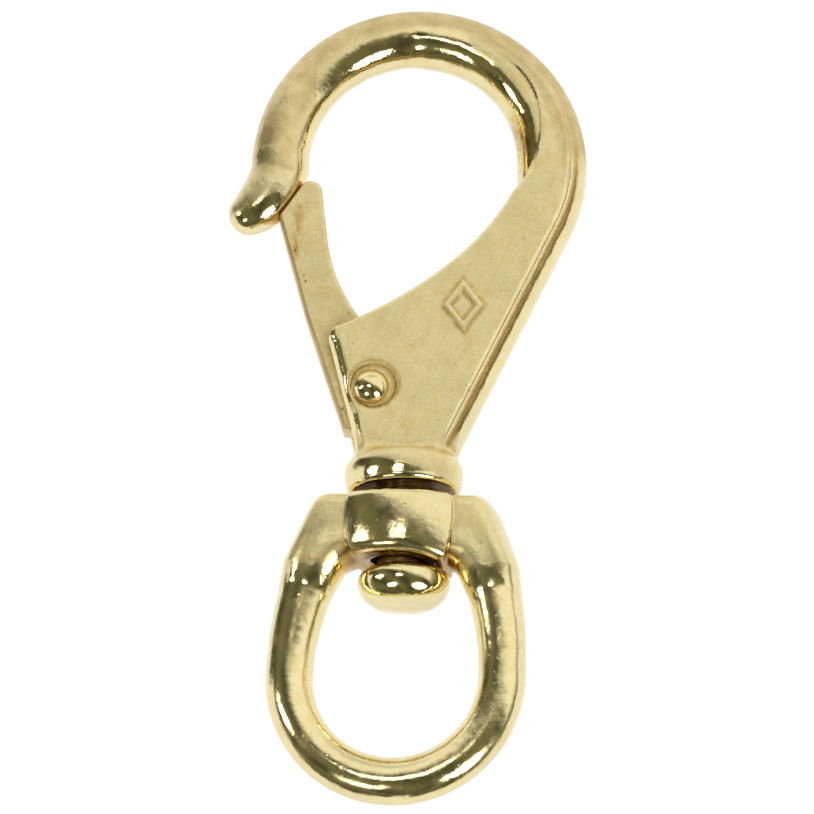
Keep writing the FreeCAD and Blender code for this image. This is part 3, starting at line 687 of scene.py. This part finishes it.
def hook_shade_and_dirt(p, normal):
    """Painted shadow under the collar, painted shade and a warm painted reflection in the dishes
    round the rivet's heads, painted shade round the foot of the mark and in the groove beside the
    spine, and a browner inner side of the bow's bend.
    Below nothing: a hollow that is kept lighter than most, where the web meets the collar."""
    x, y, z = p.T
    out = from_rod(x, z)
    # painted shadow under the collar
    under = rise(z, -61.3, -61.7) * rise(np.hypot(x, y), 7.2, 6.7)
    # painted shade and a warm painted reflection in the dish round each rivet head
    ring = np.abs(np.hypot(x - DISH[0], z - DISH[1]) - 2.9)
    ring = 0.16 * rise(ring, 0.9, 0.5) * (np.abs(y) > 3.5)
    # painted shade along the foot of the raised mark
    mark = np.abs(np.abs(lozenge(x, z)) - 0.7)
    mark = 0.26 * rise(mark, 0.35, 0.1) * (y < 0) * (x > 2)
    angle = np.degrees(np.arctan2(z - BOW[1], x - BOW[0]))
    # browner on the inner side of the bow's bend
    bend = 0.35 * rise(np.abs(angle), 34.0, 20.0) * rise(out, -1.6, -2.4)
    bend = bend * rise(z, -18.0, -12.0) * (np.abs(normal[:, 1]) < 0.93)
    # painted shade in the groove beside the spine
    groove = 0.45 * rise(np.abs(out - 2.4), 0.5, 0.2) * rise(z, -8.0, -18.0)
    groove = groove * (x > 0) * (z > -56.0) * (np.abs(y) > 2.2)
    dirt_and_shade_mask = np.maximum(np.maximum(under, ring), np.maximum(np.maximum(mark, groove), bend))
    # where the web meets the collar the hollow is kept lighter
    neck = (z < -53.0) & (z > -59.5) & (np.abs(y) > 2.6)
    return np.where((dirt_and_shade_mask == 0) & neck, -0.65, dirt_and_shade_mask)


def hook_wear_and_shade(p, normal):
    """The bow's outer side has lost its polish; on the left limb the worn colour reaches further
    in, as painted shade.
    """
    x, y, z = p.T
    out = np.hypot(x - BOW[0], z - BOW[1]) - BOW_RADIUS
    # on the left limb, x below -12, the extra worn colour is painted shade
    return rise(out + 3.0 * (x < -12), -0.5, 1.0) * rise(z, -18.0, -13.0)


def gate_wear_and_shadow(p, normal):
    """Worn all over and more on its narrow sides, with a painted shadow where it goes between the
    cheeks, along their edge.
    """
    x, y, z = p.T
    side = rise(np.abs(normal[:, 1]), 0.7, 0.3)
    # painted shadow of the cheeks' edge on the gate
    cheek = segment(x, z, (-10.0, -42.0), (-9.0, -39.3))[0]
    cheek = np.minimum(cheek, segment(x, z, (-9.0, -39.3), (6.0, -32.5))[0])
    return 0.25 + 0.6 * side + 0.75 * rise(cheek, 2.4, 1.0)


def gate_stain_and_shade(p, normal):
    """A stain under the tip, and a painted dark reflection down the front half of the outer side.
    """
    x, y, z = p.T
    stain = segment(x, z, (-14.3, -21.5), (-14.9, -28.5))[0]
    # the front half of the outer side is painted dark, a painted reflection
    left = (normal[:, 0] < -0.3) & (y < 0)
    return np.maximum(0.26 * rise(stain, 1.1, 0.1), 0.5 * left)


def stud_painted_shadow(p, normal):
    """A painted shadow round the shank, above the button, in the gap under the eye."""
    # painted shadow
    return 0.85 * rise(p[:, 2], -73.6, -72.8)


def eye_painted_shade(p, normal):
    """Painted shadow on the top of the bridge round the bore, under the collar, and painted shade
    on the underside of the bridge.
    Below nothing: the joints between the boss and the facets, kept lighter than other hollows."""
    x, y, z = p.T
    # painted shadow on the top of the bridge, under the collar
    top = rise(z, -63.9, -63.4) * rise(np.hypot(x, y), 7.4, 5.9)
    # painted shade on the underside of the bridge
    low = rise(normal[:, 2], -0.3, -0.6) * rise(z, -76.0, -74.0)
    low = low * rise(np.abs(x), 8.6, 6.6) * rise(np.abs(y), 5.6, 4.8)
    dirt_and_shade_mask = np.maximum(top, 0.6 * low)
    # the joints between the boss and the facets are kept lighter than other hollows
    joint = (np.abs(np.abs(x) - 7.6) < 1.4) & (z > -74.0) & (np.abs(y) > 3.0)
    return np.where((dirt_and_shade_mask == 0) & joint, -0.6, dirt_and_shade_mask)


def eye_finish(p, normal, dull):
    """The bridge's facets are less polished than the boss and the oval."""
    facet = rise(np.abs(p[:, 0]), 7.0, 7.4) * rise(p[:, 2], -74.0, -71.0)
    return np.maximum(0.1 * dull, 1.6 * facet * rise(np.abs(normal[:, 1]), 0.6, 0.8))


def polished(p, normal, dull):
    """Bright all over."""
    return 0 * dull


# --- the pieces --------------------------------------------------------------------------

build("hook_body", hook_body, (-24.3, -8.1, -62.0), (25.1, 8.1, 8.0), 0.29,
      cast_brass, "hook", ["hook_body"],
      matte=hook_finish, drawn=along_hook, dirt_and_shade=hook_shade_and_dirt, wear_and_shade=hook_wear_and_shade)
build("gate", gate, (-17.1, -2.2, -53.7), (-0.7, 2.2, -17.5), 0.2,
      gate_brass, "gate", ["gate"], dirt_and_shade=gate_stain_and_shade, wear_and_shade=gate_wear_and_shadow)
build("gate_rivet", gate_rivet, (-6.9, -5.9, -50.5), (-1.9, 5.9, -45.5), 0.12,
      polished_brass, "hook", ["gate_rivet"], matte=polished)
build("swivel_stud", swivel_stud, (-6.3, -6.3, -78.3), (6.3, 6.3, -56.6), 0.17,
      polished_brass, "hook", ["swivel_stud"],
      matte=polished, dirt_and_shade=stud_painted_shadow)
# the eye hangs a little askew on the stud, about the middle of its bore
middle = Matrix.Translation((0, 0, -65.5))
askew = Matrix.Rotation(math.radians(3), 4, "Y") @ Matrix.Rotation(math.radians(-7), 4, "Z")
build("swivel_eye", swivel_eye, (-18.0, -8.2, -104.8), (18.0, 8.2, -63.0), 0.27,
      eye_brass, "eye", ["swivel_eye"],
      matte=eye_finish, dirt_and_shade=eye_painted_shade, place=middle @ askew @ middle.inverted())


def coil_spring():
    """Seven turns of round wire between the gate's shoulder and the web."""
    start, end, turns, radius, wire = -4.43, 4.33, 7.0, 1.35, 0.22
    rings, sides = 7 * 44, 12
    verts, faces = [], []
    for i in range(rings + 1):
        t = i / rings
        angle = 2 * math.pi * turns * t
        centre = Vector((start + (end - start) * t, radius * math.sin(angle),
                         SPRING_LEVEL + radius * math.cos(angle)))
        out = Vector((0, math.sin(angle), math.cos(angle)))
        pitch = (end - start) / (2 * math.pi * turns)
        way = Vector((pitch, radius * math.cos(angle), -radius * math.sin(angle))).normalized()
        side = way.cross(out)
        for k in range(sides):
            a = 2 * math.pi * k / sides
            verts.append((centre + wire * (math.cos(a) * out + math.sin(a) * side)) * MM)
    for i in range(rings):
        for k in range(sides):
            a, b = i * sides + k, i * sides + (k + 1) % sides
            faces.append((a, b, b + sides, a + sides))
    faces.append(tuple(range(sides))[::-1])
    faces.append(tuple(rings * sides + k for k in range(sides)))
    mesh = bpy.data.meshes.new("gate_spring")
    mesh.from_pydata(verts, [], faces)
    mesh.polygons.foreach_set("use_smooth", np.ones(len(mesh.polygons), bool))
    mesh.materials.append(spring_bronze())
    piece = bpy.data.objects.new("gate_spring_wire", mesh)
    bpy.context.scene.collection.objects.link(piece)
    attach(piece, "hook")
    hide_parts("gate_spring")
    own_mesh(piece)


coil_spring()


# --- studio -----------------------------------------------------------------------------


def glow(name, colour, strength):
    """A material that only shines."""
    material = bpy.data.materials.new(name)
    material.use_nodes = True
    tree = material.node_tree
    tree.nodes.clear()
    out = tree.nodes.new("ShaderNodeOutputMaterial")
    light = tree.nodes.new("ShaderNodeEmission")
    light.inputs["Color"].default_value = (*colour, 1)
    light.inputs["Strength"].default_value = strength
    tree.links.new(light.outputs[0], out.inputs["Surface"])
    return material


HEART = (0.0, 0.0, -0.05)


def around(azimuth, elevation, distance):
    """A place seen from the object: azimuth 0 is the front, 90 the right."""
    a, e = math.radians(azimuth), math.radians(elevation)
    return (HEART[0] + distance * math.cos(e) * math.sin(a),
            HEART[1] - distance * math.cos(e) * math.cos(a),
            HEART[2] + distance * math.sin(e))


def only_reflected(piece):
    """A studio piece that lights the metal but isn't seen itself."""
    bpy.context.scene.collection.objects.link(piece)
    piece.visible_camera = False
    piece.visible_diffuse = False
    piece.visible_shadow = False


def softbox(name, azimuth, elevation, width, height, strength, distance=0.8):
    """An oval light as wide and high, in degrees, as it looks from the object."""
    a, b = (distance * math.tan(math.radians(v / 2)) for v in (width, height))
    rim = [(a * math.cos(t), b * math.sin(t), 0)
           for t in (2 * math.pi * k / 48 for k in range(48))]
    mesh = bpy.data.meshes.new(name)
    mesh.from_pydata(rim, [], [tuple(range(48))])
    mesh.materials.append(glow(name, (1.0, 0.985, 0.94), strength))
    piece = bpy.data.objects.new(name, mesh)
    piece.location = around(azimuth, elevation, distance)
    way = Vector(piece.location) - Vector(HEART)
    piece.rotation_euler = way.to_track_quat("Z", "Y").to_euler()
    only_reflected(piece)


CLOTH = (0.10, 0.098, 0.055)
WINDOW = (1.04, 1.025, 0.97)
CEILING = (0.62, 0.61, 0.57)
WALL = (0.99, 0.99, 0.99)


def toward(shade, other, share):
    """A shade moved by this share of the way to another."""
    return shade + (np.array(other) - shade) * share


def tent():
    """The dark side of the studio, a dome round the camera: dim cloth, a bright window high
    on the right and a paler ceiling. It turns into the white wall of the room at its rim,
    further round on the left."""
    axis = Vector((0.0, -0.949, -0.315))
    right, up = Vector((1, 0, 0)), Vector((0, -0.315, 0.949))
    rings, turns = 64, 96
    verts, faces, shades = [], [], []
    for j in range(rings + 1):
        polar = math.radians(128.0 * j / rings)
        for i in range(turns):
            t = 2 * math.pi * i / turns
            way = math.cos(t) * right + math.sin(t) * up
            way = math.cos(polar) * axis + math.sin(polar) * way
            verts.append(Vector(HEART) + 0.95 * way)
            azimuth = math.degrees(math.atan2(way.x, -way.y))
            elevation = math.degrees(math.asin(way.z))
            folds = math.sin(math.radians(6.0 * azimuth + 4.0 * elevation))
            shade = np.array(CLOTH) * (1.15 + 0.5 * folds)
            window = eased(elevation + 0.45 * azimuth, 4, 22) * eased(azimuth, 84, 62)
            shade = toward(shade, WINDOW, window)
            shade = toward(shade, CEILING, eased(elevation, 44, 64))
            wing = eased(elevation, 9, 15) * eased(elevation, 44, 30) * (azimuth < -40)
            rim = max(eased(math.degrees(polar), 82, 90) * (1 - wing), eased(-azimuth, 110, 118),
                      eased(math.degrees(polar), 110, 124))
            shades.append((*toward(shade, WALL, rim), 1.0))
    for j in range(rings):
        for i in range(turns):
            a, b = j * turns + i, j * turns + (i + 1) % turns
            faces.append((a, b, b + turns, a + turns))
    mesh = bpy.data.meshes.new("tent")
    mesh.from_pydata(verts, [], faces)
    layer = mesh.attributes.new("shade", "FLOAT_COLOR", "POINT")
    layer.data.foreach_set("color", np.array(shades, np.float32).ravel())
    cloth = glow("tent", (1, 1, 1), 1.0)
    colour = cloth.node_tree.nodes.new("ShaderNodeAttribute")
    colour.attribute_name = "shade"
    cloth.node_tree.links.new(colour.outputs["Color"],
                              cloth.node_tree.nodes["Emission"].inputs["Color"])
    mesh.materials.append(cloth)
    only_reflected(bpy.data.objects.new("tent", mesh))


tent()
softbox("box_left", -62, -2, 22, 11, 6.0)
softbox("box_ahead", -12, -3, 17, 9, 6.0)
softbox("box_low", 49, -46, 32, 24, 6.0)
softbox("box_low_left", -37, -44, 20, 14, 5.0)

world = bpy.data.worlds.new("studio")
bpy.context.scene.world = world
world.use_nodes = True
world.node_tree.nodes["Background"].inputs["Color"].default_value = (1, 1, 1, 1)
world.node_tree.nodes["Background"].inputs["Strength"].default_value = 1.0

# a sheet of paper far below, which shows only in the metal and in views from above
floor_mesh = bpy.data.meshes.new("floor")
floor_mesh.from_pydata([(-9, -9, 0), (9, -9, 0), (9, 9, 0), (-9, 9, 0)], [], [(0, 1, 2, 3)])
floor = bpy.data.objects.new("floor", floor_mesh)
floor.location = (0, 0, -1.3)
bpy.context.scene.collection.objects.link(floor)
paper = bpy.data.materials.new("paper")
paper.use_nodes = True
paper.node_tree.nodes["Principled BSDF"].inputs["Base Color"].default_value = (0.9, 0.9, 0.89, 1)
paper.node_tree.nodes["Principled BSDF"].inputs["Roughness"].default_value = 0.9
floor_mesh.materials.append(paper)

# a long lens, looking up at the object
camera = bpy.data.cameras.new("camera")
camera.lens = 207.02
camera.sensor_width = 36.0
camera_object = bpy.data.objects.new("camera", camera)
camera_object.location = (0.0004, -0.6, -0.2484)
camera_object.rotation_euler = (math.radians(90 + 18.336), 0, 0)
bpy.context.scene.collection.objects.link(camera_object)
bpy.context.scene.camera = camera_object
bpy.context.scene.view_settings.view_transform = "Standard"
